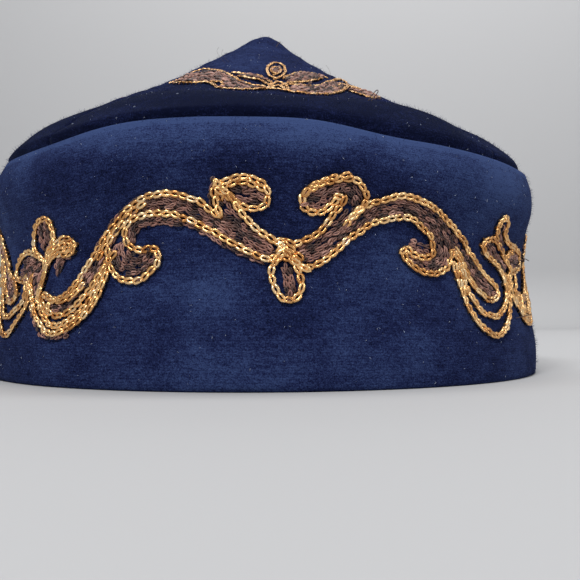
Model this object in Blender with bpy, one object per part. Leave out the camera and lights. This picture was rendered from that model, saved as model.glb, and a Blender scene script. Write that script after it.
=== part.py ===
"""Velvet skullcap: a tall side band that stands on its hem, and a soft crown of four sewn wedge panels.

The cap stands on its hem at z = 0 with its axis on Z and its front towards -Y.
An azimuth is measured from the front, and grows towards +X.
"""

import math
from typing import NamedTuple

import bmesh
import bpy

# Band
HEAD_CIRCUMFERENCE = 0.560
BAND_HEIGHT = 0.0642
BAND_WALL = 0.0025
WAIST_DEPTH = 0.0025
EDGE_CURL = 0.0030
EDGE_WAVE = 0.0020
HEM_ROUNDING = 0.0006

# Crown
CROWN_RISE = 0.0567
CROWN_WALL = 0.0020
CROWN_LEAN = 0.0018
SEAM_ALLOWANCE = 0.0060
SEAM_PINCH = 0.0012
SEAM_PINCH_WIDTH_DEG = 5.0
PANEL_PUFF = 0.0020

# Clearances between sewn pieces
BAND_CLEARANCE = 0.0005
SEAM_GAP = 0.0003

# How finely the round forms are cut
BAND_SEGMENTS = 72
PANEL_STATIONS = (0.0, 0.2, 0.4, 0.6, 0.78, 0.91, 1.0)
SMOOTH_ANGLE_DEG = 40
MERGE_DISTANCE = 1e-6

PANEL_AZIMUTHS_DEG = {"front": 0, "right": 90, "back": 180, "left": 270}
HALF_PANEL = math.pi / len(PANEL_AZIMUTHS_DEG)

BAND_RADIUS = HEAD_CIRCUMFERENCE / (2 * math.pi) + BAND_WALL


class BandSection(NamedTuple):
    """A level of the side band, from the hem to the top edge. Each value is a share."""

    height: float  # of the band's height
    waist: float  # of the waist's depth, where the stitching draws the cloth in
    curl: float  # of the inward curl of the folded top edge


BAND_SECTIONS = (
    BandSection(height=0.05, waist=0.00, curl=0.00),
    BandSection(height=0.14, waist=0.06, curl=0.00),
    BandSection(height=0.24, waist=0.42, curl=0.00),
    BandSection(height=0.35, waist=0.75, curl=0.00),
    BandSection(height=0.46, waist=0.92, curl=0.00),
    BandSection(height=0.57, waist=1.00, curl=0.00),
    BandSection(height=0.66, waist=0.90, curl=0.00),
    BandSection(height=0.74, waist=0.58, curl=0.00),
    BandSection(height=0.81, waist=0.14, curl=0.00),
    BandSection(height=0.87, waist=0.00, curl=0.05),
    BandSection(height=0.92, waist=0.00, curl=0.20),
    BandSection(height=0.96, waist=0.00, curl=0.50),
    BandSection(height=1.00, waist=0.00, curl=1.00),
)


class EdgeTurn(NamedTuple):
    """A crest or dip of the band's top edge, which runs a little up and down around the cap."""

    azimuth_deg: float
    rise: float  # share of the top edge's wave


TOP_EDGE = (
    EdgeTurn(azimuth_deg=-180, rise=0.1),
    EdgeTurn(azimuth_deg=-135, rise=-0.3),
    EdgeTurn(azimuth_deg=-80, rise=0.8),
    EdgeTurn(azimuth_deg=-50, rise=-0.3),
    EdgeTurn(azimuth_deg=-22, rise=0.95),
    EdgeTurn(azimuth_deg=0, rise=0.65),
    EdgeTurn(azimuth_deg=22, rise=-1.1),
    EdgeTurn(azimuth_deg=48, rise=-1.3),
    EdgeTurn(azimuth_deg=90, rise=0.2),
    EdgeTurn(azimuth_deg=135, rise=-0.4),
    EdgeTurn(azimuth_deg=180, rise=0.1),
)


class CrownSection(NamedTuple):
    """A level of the crown, from the neck, where it leaves the band, to the tip. Each value is a share."""

    radius: float  # of the neck's radius
    middle: float  # of the crown's rise, at the middle of a panel
    seam: float  # of the crown's rise, along a seam
    wave: float  # of the top edge's wave, which the cloth still follows here
    lean: float  # of the crown's lean to the left
    pinch: float  # of the seam's pinch
    puff: float  # of the panel's puff


CROWN_SECTIONS = (
    CrownSection(radius=1.012, middle=0.018, seam=0.018, wave=1.0, lean=0.0, pinch=0.0, puff=0.0),
    CrownSection(radius=1.020, middle=0.042, seam=0.042, wave=0.9, lean=0.0, pinch=0.2, puff=0.0),
    CrownSection(radius=1.012, middle=0.066, seam=0.060, wave=0.6, lean=0.0, pinch=0.5, puff=0.0),
    CrownSection(radius=0.985, middle=0.100, seam=0.086, wave=0.4, lean=0.2, pinch=0.9, puff=0.2),
    CrownSection(radius=0.945, middle=0.144, seam=0.136, wave=0.3, lean=0.4, pinch=1.0, puff=0.6),
    CrownSection(radius=0.890, middle=0.176, seam=0.198, wave=0.2, lean=0.5, pinch=1.0, puff=1.0),
    CrownSection(radius=0.820, middle=0.202, seam=0.260, wave=0.2, lean=0.6, pinch=0.8, puff=1.0),
    CrownSection(radius=0.740, middle=0.240, seam=0.322, wave=0.1, lean=0.8, pinch=0.5, puff=0.9),
    CrownSection(radius=0.650, middle=0.304, seam=0.388, wave=0.0, lean=1.0, pinch=0.2, puff=0.6),
    CrownSection(radius=0.560, middle=0.392, seam=0.460, wave=0.0, lean=1.0, pinch=0.1, puff=0.3),
    CrownSection(radius=0.460, middle=0.506, seam=0.546, wave=0.0, lean=1.0, pinch=0.0, puff=0.1),
    CrownSection(radius=0.360, middle=0.618, seam=0.642, wave=0.0, lean=1.0, pinch=0.0, puff=0.0),
    CrownSection(radius=0.260, middle=0.726, seam=0.742, wave=0.0, lean=0.9, pinch=0.0, puff=0.0),
    CrownSection(radius=0.170, middle=0.824, seam=0.834, wave=0.0, lean=0.7, pinch=0.0, puff=0.0),
    CrownSection(radius=0.095, middle=0.908, seam=0.913, wave=0.0, lean=0.4, pinch=0.0, puff=0.0),
    CrownSection(radius=0.045, middle=0.963, seam=0.965, wave=0.0, lean=0.2, pinch=0.0, puff=0.0),
    CrownSection(radius=0.017, middle=0.990, seam=0.990, wave=0.0, lean=0.0, pinch=0.0, puff=0.0),
)


def clear_scene():
    for thing in list(bpy.data.objects):
        bpy.data.objects.remove(thing, do_unlink=True)


def fabric(name, colour, roughness):
    material = bpy.data.materials.new(name)
    material.use_nodes = True
    shader = material.node_tree.nodes["Principled BSDF"]
    shader.inputs["Base Color"].default_value = (*colour, 1.0)
    shader.inputs["Roughness"].default_value = roughness
    shader.inputs["Metallic"].default_value = 0.0
    return material


def edge_wave(azimuth):
    """How far the band's top edge lies above its mean height, eased from each turn to the next."""
    degrees = (math.degrees(azimuth) + 180) % 360 - 180
    for before, after in zip(TOP_EDGE, TOP_EDGE[1:]):
        if degrees <= after.azimuth_deg:
            break
    share = (degrees - before.azimuth_deg) / (after.azimuth_deg - before.azimuth_deg)
    eased = (1 - math.cos(math.pi * share)) / 2
    return EDGE_WAVE * (before.rise + (after.rise - before.rise) * eased)


def edge_height(azimuth):
    return BAND_HEIGHT + edge_wave(azimuth)


def inner_line(outer_line, wall):
    """Points one wall inside a line of (radius, height) points that runs upwards."""
    inner = []
    for index, (radius, height) in enumerate(outer_line):
        low = outer_line[max(index - 1, 0)]
        high = outer_line[min(index + 1, len(outer_line) - 1)]
        run, rise = high[0] - low[0], high[1] - low[1]
        length = math.hypot(run, rise)
        inner.append((radius - wall * rise / length, height + wall * run / length))
    return inner


def band_wall_lines(azimuth):
    """Outer and inner lines of the band's wall, without its hem and its rounded top."""
    height = edge_height(azimuth) - BAND_WALL / 2
    outer = []
    for level in BAND_SECTIONS:
        radius = BAND_RADIUS - WAIST_DEPTH * level.waist - EDGE_CURL * level.curl
        outer.append((radius, height * level.height))
    inner = inner_line(outer, BAND_WALL)
    return outer, inner


def band_section(azimuth):
    """The band's closed section: a flat hem with a rounded outer corner, and a rounded top edge."""
    outer, inner = band_wall_lines(azimuth)
    foot_outer = [(BAND_RADIUS - HEM_ROUNDING, 0.0), (BAND_RADIUS, HEM_ROUNDING)]
    foot_inner = [(BAND_RADIUS - BAND_WALL, 0.0), (BAND_RADIUS - BAND_WALL, HEM_ROUNDING)]
    crest = edge_height(azimuth)
    (outer_radius, _), (inner_radius, _) = outer[-1], inner[-1]
    shoulder = (outer_radius - inner_radius) / 4
    outer = foot_outer + outer + [(outer_radius - shoulder, crest)]
    inner = foot_inner + inner + [(inner_radius + shoulder, crest)]
    return outer, inner


def seam_allowance_line(azimuth):
    """The turned-down edge of the crown, close inside the band's curled top."""
    _, band_inner = band_wall_lines(azimuth)
    top = band_inner[-1][1]
    line = []
    for depth in (SEAM_ALLOWANCE, SEAM_ALLOWANCE / 2, 0.0):
        height = top - depth
        line.append((radius_at(band_inner, height) - BAND_CLEARANCE, height))
    return line


def radius_at(line, height):
    """Radius of a line of (radius, height) points at a height between two of them."""
    for (low_radius, low), (high_radius, high) in zip(line, line[1:]):
        if low <= height <= high:
            share = (height - low) / (high - low)
            return low_radius + share * (high_radius - low_radius)
    return line[-1][0]


def crown_section(azimuth, off_middle):
    """Outer and inner lines of the crown at an azimuth that lies off_middle from a panel's middle."""
    allowance = seam_allowance_line(azimuth)
    neck_radius = min(radius for radius, _ in allowance)
    seam_share = abs(off_middle) / HALF_PANEL
    towards_seam = seam_share ** 2
    puff = PANEL_PUFF * math.sin(math.pi * seam_share) ** 2
    pinch_reach = (HALF_PANEL - abs(off_middle)) / math.radians(SEAM_PINCH_WIDTH_DEG)
    pinch = SEAM_PINCH * math.exp(-pinch_reach ** 2)
    wave = edge_wave(azimuth)
    lean = -CROWN_LEAN * math.sin(azimuth)
    outer = list(allowance)
    for level in CROWN_SECTIONS:
        rise = CROWN_RISE * (level.middle + (level.seam - level.middle) * towards_seam)
        height = BAND_HEIGHT + rise + wave * level.wave + lean * level.lean
        height += puff * level.puff - pinch * level.pinch
        outer.append((neck_radius * level.radius, height))
    tip = BAND_HEIGHT + CROWN_RISE
    outer.append((0.0, tip))
    inner = inner_line(outer, CROWN_WALL)
    inner[-1] = (0.0, tip - CROWN_WALL)
    return outer, inner


def panel_points(line, off_middle):
    """Points of a panel in its own frame, its middle along +X, kept half a seam gap from both seams."""
    apex = SEAM_GAP / 2 / math.sin(HALF_PANEL)
    points = []
    for radius, height in line:
        radius = max(radius, apex)
        widest = HALF_PANEL - math.asin(SEAM_GAP / 2 / radius)
        turn = widest * off_middle / HALF_PANEL
        points.append((radius * math.cos(turn), radius * math.sin(turn), height))
    return points


def ring_points(line, angle):
    return [(radius * math.cos(angle), radius * math.sin(angle), height) for radius, height in line]


def build_shell(name, columns, closed, material):
    """A cloth wall through columns of (outer points, inner points), which run from bottom to top."""
    shape = bmesh.new()
    skins = [[[shape.verts.new(p) for p in side] for side in column] for column in columns]
    rows = len(skins[0][0])
    neighbours = list(zip(skins, skins[1:]))
    if closed:
        neighbours.append((skins[-1], skins[0]))
    for left, right in neighbours:
        for side in (0, 1):
            for row in range(rows - 1):
                lower = (left[side][row], right[side][row])
                upper = (right[side][row + 1], left[side][row + 1])
                shape.faces.new(lower + upper)
        for row in (0, rows - 1):
            shape.faces.new((left[0][row], right[0][row], right[1][row], left[1][row]))
    if not closed:
        for outer, inner in (skins[0], skins[-1]):
            for row in range(rows - 1):
                shape.faces.new((outer[row], outer[row + 1], inner[row + 1], inner[row]))
    bmesh.ops.remove_doubles(shape, verts=shape.verts, dist=MERGE_DISTANCE)
    bmesh.ops.recalc_face_normals(shape, faces=shape.faces)
    mesh = bpy.data.meshes.new(name)
    shape.to_mesh(mesh)
    shape.free()
    mesh.shade_smooth()
    mesh.set_sharp_from_angle(angle=math.radians(SMOOTH_ANGLE_DEG))
    mesh.materials.append(material)
    made = bpy.data.objects.new(name, mesh)
    bpy.context.scene.collection.objects.link(made)
    return made


def build_band(material):
    columns = []
    for index in range(BAND_SEGMENTS):
        azimuth = 2 * math.pi * index / BAND_SEGMENTS
        outer, inner = band_section(azimuth)
        columns.append((ring_points(outer, azimuth), ring_points(inner, azimuth)))
    return build_shell("side_band", columns, True, material)


def build_panel(side, azimuth, material):
    stations = [-share for share in reversed(PANEL_STATIONS[1:])] + list(PANEL_STATIONS)
    columns = []
    for share in stations:
        off_middle = HALF_PANEL * share
        outer, inner = crown_section(azimuth + off_middle, off_middle)
        columns.append((panel_points(outer, off_middle), panel_points(inner, off_middle)))
    panel = build_shell("crown_panel_" + side, columns, False, material)
    panel.rotation_euler.z = azimuth
    return panel


def main():
    clear_scene()
    cap = bpy.data.objects.new("cap_axis", None)
    cap.rotation_euler.z = -math.pi / 2
    bpy.context.scene.collection.objects.link(cap)
    band_velvet = fabric("band_velvet", (0.020, 0.045, 0.150), 0.85)
    crown_velvet = fabric("crown_velvet", (0.014, 0.026, 0.100), 0.85)
    build_band(band_velvet).parent = cap
    for side, azimuth in PANEL_AZIMUTHS_DEG.items():
        build_panel(side, math.radians(azimuth), crown_velvet).parent = cap


main()
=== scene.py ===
"""A navy velvet skullcap with a gold and brown chain-stitch scroll, standing on its hem.

Lengths are in metres. The cap's axis is Z and its front looks along -Y. An azimuth is measured
from the front and grows towards +X. The shapes of the cloth are read from the solids.
"""

import math

import bmesh
import bpy
import numpy as np
from mathutils import Matrix, Vector, noise
from mathutils.bvhtree import BVHTree
from mathutils.kdtree import KDTree


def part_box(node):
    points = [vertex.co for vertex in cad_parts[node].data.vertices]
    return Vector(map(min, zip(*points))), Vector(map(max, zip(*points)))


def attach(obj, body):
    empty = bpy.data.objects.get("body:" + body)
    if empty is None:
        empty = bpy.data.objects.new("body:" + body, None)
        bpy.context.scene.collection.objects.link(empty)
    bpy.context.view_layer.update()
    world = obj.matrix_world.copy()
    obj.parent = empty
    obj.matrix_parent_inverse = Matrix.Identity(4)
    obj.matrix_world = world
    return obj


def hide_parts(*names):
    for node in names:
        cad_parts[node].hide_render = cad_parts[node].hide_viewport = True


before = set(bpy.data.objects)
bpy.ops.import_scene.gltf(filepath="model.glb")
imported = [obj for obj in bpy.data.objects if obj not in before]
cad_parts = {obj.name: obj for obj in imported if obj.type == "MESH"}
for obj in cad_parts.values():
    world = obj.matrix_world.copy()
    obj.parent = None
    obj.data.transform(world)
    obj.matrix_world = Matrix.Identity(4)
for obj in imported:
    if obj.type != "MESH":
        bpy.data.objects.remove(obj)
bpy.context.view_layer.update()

# The view
# The cap is looked at from close in front of its left half, with the eye just above the floor,
# so its hem shows as a shallow curve and the crown rises behind the band's top edge.
MM = 0.001
EYE_DISTANCE = 255 * MM
EYE_HEIGHT = 16 * MM
EYE_AZIMUTH = math.radians(-3.0)
LOOK_UP = math.radians(2.7)
LOOK_ASIDE = math.radians(4.9)
HEAD_LEAN = math.radians(0.2)
PICTURE_PIXELS = 580
FOCAL_PIXELS = 706
SENSOR_WIDTH = 36
NEAREST_SEEN = 5 * MM
FARTHEST_SEEN = 20


def placed(name, data):
    """A new object, put in the scene."""
    made = bpy.data.objects.new(name, data)
    bpy.context.scene.collection.objects.link(made)
    return made


camera_data = bpy.data.cameras.new("eye")
camera_data.sensor_width = SENSOR_WIDTH
camera_data.lens = SENSOR_WIDTH * FOCAL_PIXELS / PICTURE_PIXELS
camera_data.clip_start = NEAREST_SEEN
camera_data.clip_end = FARTHEST_SEEN
camera = placed("eye", camera_data)
camera.location = (
    EYE_DISTANCE * math.sin(EYE_AZIMUTH),
    -EYE_DISTANCE * math.cos(EYE_AZIMUTH),
    EYE_HEIGHT,
)
camera.rotation_euler = (math.pi / 2 + LOOK_UP, HEAD_LEAN, -LOOK_ASIDE)
bpy.context.scene.camera = camera
bpy.context.scene.view_settings.view_transform = "Standard"
bpy.context.view_layer.update()


def sight_line(pixel):
    """Direction in which a pixel of the 580 by 580 picture is seen."""
    middle = PICTURE_PIXELS / 2
    through = Vector((pixel[0] - middle, middle - pixel[1], -FOCAL_PIXELS))
    return (camera.matrix_world.to_3x3() @ through).normalized()


# The cut cloth's form
# The band is one strip closed into a ring and the crown is four wedges. Both take their form from
# the solids, with the flats between the solids' edges eased into curves.
PANELS = ("front", "right", "back", "left")
BAND_NODE = "side_band"
PANEL_NODES = tuple("crown_panel_" + side for side in PANELS)
BAND_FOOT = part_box(BAND_NODE)[1].x
TIP_HEIGHT = max(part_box(node)[1].z for node in PANEL_NODES)
FAR_OUT = 0.4
MERGE_DISTANCE = 0.01 * MM
JOIN_ANGLE = math.radians(50)
SQUARE_ANGLE = math.radians(70)
CREASE_ANGLE = math.radians(55)
ROUNDING_LEVELS = 2


def mesh_of(name, shape):
    """Mesh of an editable shape, which is freed."""
    mesh = bpy.data.meshes.new(name)
    shape.to_mesh(mesh)
    shape.free()
    return mesh


def eased_surface(nodes):
    """Search tree of a smoothed copy of solids, which are loose triangles until they are merged."""
    shape = bmesh.new()
    for node in nodes:
        shape.from_mesh(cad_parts[node].data)
    bmesh.ops.remove_doubles(shape, verts=shape.verts, dist=MERGE_DISTANCE)
    bmesh.ops.join_triangles(
        shape,
        faces=shape.faces,
        angle_face_threshold=JOIN_ANGLE,
        angle_shape_threshold=SQUARE_ANGLE,
    )
    creases = shape.edges.layers.float.new("crease_edge")
    for edge in shape.edges:
        edge[creases] = float(edge.calc_face_angle(0) > CREASE_ANGLE)
    mesh = mesh_of("eased", shape)
    copy = placed("eased", mesh)
    rounding = copy.modifiers.new("rounding", "SUBSURF")
    rounding.levels = ROUNDING_LEVELS
    rounding.render_levels = ROUNDING_LEVELS
    tree = BVHTree.FromObject(copy, bpy.context.evaluated_depsgraph_get())
    bpy.data.objects.remove(copy)
    bpy.data.meshes.remove(mesh)
    return tree


band_surface = eased_surface([BAND_NODE])
crown_surface = eased_surface(PANEL_NODES)


def spoke(azimuth):
    """Level direction away from the axis."""
    return Vector((math.sin(azimuth), -math.cos(azimuth), 0))


def azimuth_of(point):
    return math.atan2(point.x, -point.y)


def meridian_hit(surface, azimuth, target, rise, start=FAR_OUT):
    """Where a line down to a (radius, height) target, sloping at an angle rise, meets a surface."""
    out = spoke(azimuth)
    up = Vector((0, 0, 1))
    aim = out * target[0] + up * target[1]
    heading = out * math.cos(rise) + up * math.sin(rise)
    return surface.ray_cast(aim + heading * start, -heading, start)[:2]


# How the cloth sits
# Velvet doesn't lie as true as the cut form. The rows of stitches draw the band in at its waist, most
# of all on the right, and beside them the cloth swells and puffs out a little.
SOFT_SWELL = 0.35 * MM
SWELL_SIZE = 24 * MM
BAND_SWELL_SEED = 3.0
CROWN_SWELL_SEED = 9.0
WAIST_PULL = 0.4 * MM
TIGHTEST_PULL = 1.3 * MM
TIGHTEST_AZIMUTH = math.radians(66)
WAIST_MIDDLE = 33 * MM
WAIST_REACH = 13 * MM
SKIN_COLUMNS = 360
SKIN_ROWS = 56
SKIN_FOOT = 2 * MM
SKIN_TOP = 57 * MM


def fade(distance, reach):
    """Share that is left at a distance from the middle of something soft."""
    return math.exp(-((distance / reach) ** 2))


class SoftPatch:
    """A patch of the cloth that fades out around its middle, with its strength there."""

    def __init__(self, azimuth_deg, height, reach_around, reach_up, strength):
        self.azimuth = math.radians(azimuth_deg)
        self.height = height
        self.reach_around = reach_around
        self.reach_up = reach_up
        self.strength = strength

    def at(self, azimuth, height):
        turn = (azimuth - self.azimuth + math.pi) % (2 * math.pi) - math.pi
        around = turn * BAND_FOOT / self.reach_around
        up = (height - self.height) / self.reach_up
        return self.strength * math.exp(-(around ** 2) - up ** 2)


BAND_PUFFS = (
    SoftPatch(72, 64 * MM, 34 * MM, 6 * MM, 1.8 * MM),
    SoftPatch(72, 10 * MM, 34 * MM, 8 * MM, 0.5 * MM),
)
CROWN_PUFFS = (SoftPatch(-50, 74 * MM, 24 * MM, 9 * MM, 0.5 * MM),)
TIP_PUFF = 0.7 * MM
TIP_PUFF_DROP = 3 * MM
TIP_PUFF_REACH = 2.6 * MM


def swell(point, seed):
    return noise.noise(Vector(point) / SWELL_SIZE + Vector((seed, 0, 0))) * SOFT_SWELL


def patches_at(patches, place):
    """Strength of soft patches at a place, all together."""
    azimuth = azimuth_of(place)
    return sum(patch.at(azimuth, place.z) for patch in patches)


def band_ease(azimuth, place):
    """How far the band stands out from its cut form at a place."""
    across = math.cos((azimuth - TIGHTEST_AZIMUTH) * 2) * 0.5 + 0.5
    pull = WAIST_PULL + TIGHTEST_PULL * across
    waist = pull * fade(place.z - WAIST_MIDDLE, WAIST_REACH)
    puffs = sum(puff.at(azimuth, place.z) for puff in BAND_PUFFS)
    return swell(place, BAND_SWELL_SEED) - waist + puffs


def crown_ease(place):
    """How far the crown stands out from its cut form at a place."""
    tip_puff = TIP_PUFF * fade(TIP_HEIGHT - place.z - TIP_PUFF_DROP, TIP_PUFF_REACH)
    return swell(place, CROWN_SWELL_SEED) + tip_puff + patches_at(CROWN_PUFFS, place)


def band_skin_tree():
    """Search tree of the band's outside as it sits, without the stitches' small hollows."""
    points, faces = [], []
    for column in range(SKIN_COLUMNS):
        azimuth = 2 * math.pi * column / SKIN_COLUMNS
        for height in np.linspace(SKIN_FOOT, SKIN_TOP, SKIN_ROWS):
            place, out = meridian_hit(band_surface, azimuth, (0, height), 0)
            points.append(place + out * band_ease(azimuth, place))
        here = column * SKIN_ROWS
        there = (column + 1) % SKIN_COLUMNS * SKIN_ROWS
        for row in range(SKIN_ROWS - 1):
            faces.append((here + row, there + row, there + row + 1, here + row + 1))
    return BVHTree.FromPolygons(points, faces)


band_skin = band_skin_tree()

# The scroll drawn on the band
# The maker draws it on the velvet before stitching it, four times around: a V under two spirals, with
# arms that hook, dip and meet under a three-lobed flower. Each line is charted at pixels.
REPEATS = 4
REPEAT_TURN = 2 * math.pi / REPEATS
REPEAT_MIDDLES = tuple(math.radians(angle) for angle in (0, 94.5, 181, -94.5))
REPEAT_WIDTHS = (1.0, 0.94, 0.91, 0.95)
REPEAT_HEIGHTS = (1.0, 0.90, 0.95, 0.97)
SCROLL_MIDDLE = 34 * MM
HAND_WANDER = 0.7 * MM
WANDER_TURNS = 14
WANDER_HEIGHT = 7 * MM
WANDER_CHANGE = 3
HAND_SEED = 5

noise.seed_set(HAND_SEED)

GOLD_SCROLL = {
    "left_stem": (
        (285, 240), (276, 243), (269, 237), (261, 234), (256, 227), (249, 224), (245, 216), (240, 211),
        (236, 205), (232, 197), (226, 190), (222, 187),
    ),
    "left_spiral": (
        (221, 217), (217, 207), (215, 198), (214, 190), (219, 183), (231, 179), (240, 177), (248, 176),
        (256, 180), (264, 184), (267, 192), (269, 200), (265, 206), (258, 209), (251, 209), (243, 207),
        (238, 203), (232, 199), (225, 195),
    ),
    "left_spiral_inside": ((221, 202), (220, 193), (225, 187), (235, 183), (246, 181), (256, 185)),
    "left_arm_over": (
        (221, 217), (210, 210), (200, 202), (190, 198), (181, 195), (172, 194), (162, 193), (153, 195),
        (145, 198), (136, 204), (128, 211), (121, 219), (112, 230), (105, 240), (99, 250), (94, 259),
        (87, 269), (80, 281), (70, 293), (60, 300), (52, 299), (47, 294), (43, 299), (45, 306), (51, 313),
        (59, 316), (66, 315), (74, 308), (82, 301), (90, 292), (97, 280), (104, 269), (110, 260),
    ),
    "left_arm_second": ((147, 202), (139, 207), (132, 214), (125, 222), (117, 232), (110, 242), (104, 252)),
    "left_arm_under": (
        (285, 249), (277, 258), (267, 260), (255, 255), (243, 249), (232, 243), (220, 236), (207, 229),
        (193, 221), (182, 217), (172, 214), (163, 213), (154, 214), (145, 215), (135, 218), (129, 224),
        (126, 231), (126, 239), (131, 246), (138, 251), (145, 251), (151, 248), (158, 251), (160, 259),
        (156, 267), (149, 274), (142, 280), (132, 282), (123, 279), (116, 274), (111, 267), (110, 258),
    ),
    "left_dip": (
        (110, 262), (108, 274), (104, 285), (98, 298), (92, 308), (85, 316), (77, 324), (66, 330),
        (56, 334), (48, 333), (41, 322), (37, 313), (35, 303), (33, 293), (30, 284),
    ),
    "left_dip_inside": (
        (107, 266), (102, 278), (97, 290), (91, 300), (84, 309), (76, 317), (66, 323), (57, 327),
        (50, 324), (45, 315), (42, 307), (40, 300), (41, 291), (44, 282),
    ),
    "left_lobe_inside": ((86, 283), (80, 290), (73, 297), (64, 301), (56, 301), (50, 302), (50, 308)),
    "right_stem": (
        (285, 240), (292, 245), (299, 242), (307, 240), (315, 236), (321, 229), (328, 222), (332, 215),
        (339, 208), (344, 200), (342, 194), (335, 200), (330, 207), (322, 212), (313, 212), (304, 209),
        (301, 201), (304, 192), (309, 190), (317, 186), (328, 182), (339, 180), (348, 178), (356, 181),
        (362, 187), (365, 195), (366, 202), (360, 208), (354, 213), (350, 219),
    ),
    "right_spiral_inside": ((303, 197), (309, 187), (318, 183), (330, 178), (340, 177)),
    "right_arm_over": (
        (350, 219), (358, 211), (366, 204), (376, 202), (387, 199), (397, 196), (408, 197), (419, 200),
        (429, 204), (438, 211), (445, 219), (452, 228), (458, 237), (464, 244), (468, 254), (474, 263),
        (481, 272), (487, 280), (494, 287), (496, 294), (492, 300), (485, 299), (478, 293), (471, 285),
        (466, 275), (461, 264), (457, 256),
    ),
    "right_arm_under": (
        (285, 249), (293, 257), (300, 268), (314, 266), (323, 261), (330, 256), (339, 249), (348, 240),
        (357, 233), (365, 227), (373, 223), (381, 220), (391, 218), (402, 217), (412, 220), (419, 226),
        (426, 232), (430, 239), (432, 246), (432, 254), (426, 259), (418, 257), (411, 253), (405, 247),
        (401, 250), (403, 257), (410, 265), (419, 271), (430, 275), (441, 272), (447, 266), (450, 258),
        (452, 251), (456, 257),
    ),
    "right_dip": (
        (452, 262), (455, 274), (459, 285), (463, 296), (467, 307), (476, 322), (486, 332), (496, 336),
        (503, 331), (507, 319), (509, 306), (508, 296), (507, 286),
    ),
    "right_knot": ((449, 252), (455, 251), (458, 258), (459, 268), (463, 278), (464, 286)),
    "right_knot_second": ((453, 255), (459, 261), (463, 270), (468, 280)),
    "right_dip_inside": (
        (457, 262), (459, 273), (463, 285), (469, 296), (476, 307), (483, 314), (493, 317), (500, 312),
        (504, 304), (505, 294), (503, 285),
    ),
    "drop": (
        (285, 250), (278, 257), (272, 266), (271, 277), (274, 287), (279, 296), (286, 301), (293, 301),
        (299, 294), (301, 285), (300, 276), (297, 267), (291, 258), (285, 250),
    ),
    "drop_crown": ((272, 262), (279, 260), (286, 256), (292, 262), (299, 266)),
    "knot": ((277, 252), (281, 247), (286, 245), (291, 248), (295, 253)),
}

GOLD_FLOWER_LEFT = {
    "top_lobe": (
        (42, 258), (37, 252), (36, 242), (37, 232), (40, 223), (45, 218), (51, 222), (54, 229), (55, 237),
        (54, 245), (50, 254), (49, 264), (47, 274), (44, 284), (41, 294),
    ),
    "right_lobe": (
        (48, 258), (55, 249), (62, 241), (70, 239), (76, 243), (76, 250), (70, 255), (62, 254),
        (55, 256), (49, 264),
    ),
    "right_lobe_inside": ((52, 255), (59, 248), (67, 244), (72, 247), (67, 251), (59, 251), (52, 259)),
    "left_lobe": (
        (48, 266), (43, 258), (36, 253), (29, 253), (23, 258), (19, 267), (18, 276), (23, 281), (29, 282),
        (33, 287), (34, 295), (34, 303),
    ),
}

GOLD_FLOWER_RIGHT = {
    "top_lobe": (
        (496, 243), (495, 234), (498, 224), (504, 217), (507, 221), (504, 229), (503, 237), (508, 244),
        (512, 247), (516, 252), (518, 260), (517, 267), (513, 272), (508, 273), (506, 280), (506, 291),
    ),
    "left_lobe": (
        (499, 248), (494, 242), (486, 239), (481, 245), (483, 253), (489, 260), (497, 268), (502, 277),
        (505, 286), (507, 296),
    ),
    "rib": ((496, 242), (500, 252), (504, 261), (508, 270), (508, 280)),
    "right_lobe": ((505, 258), (507, 253), (510, 252)),
}

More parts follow.
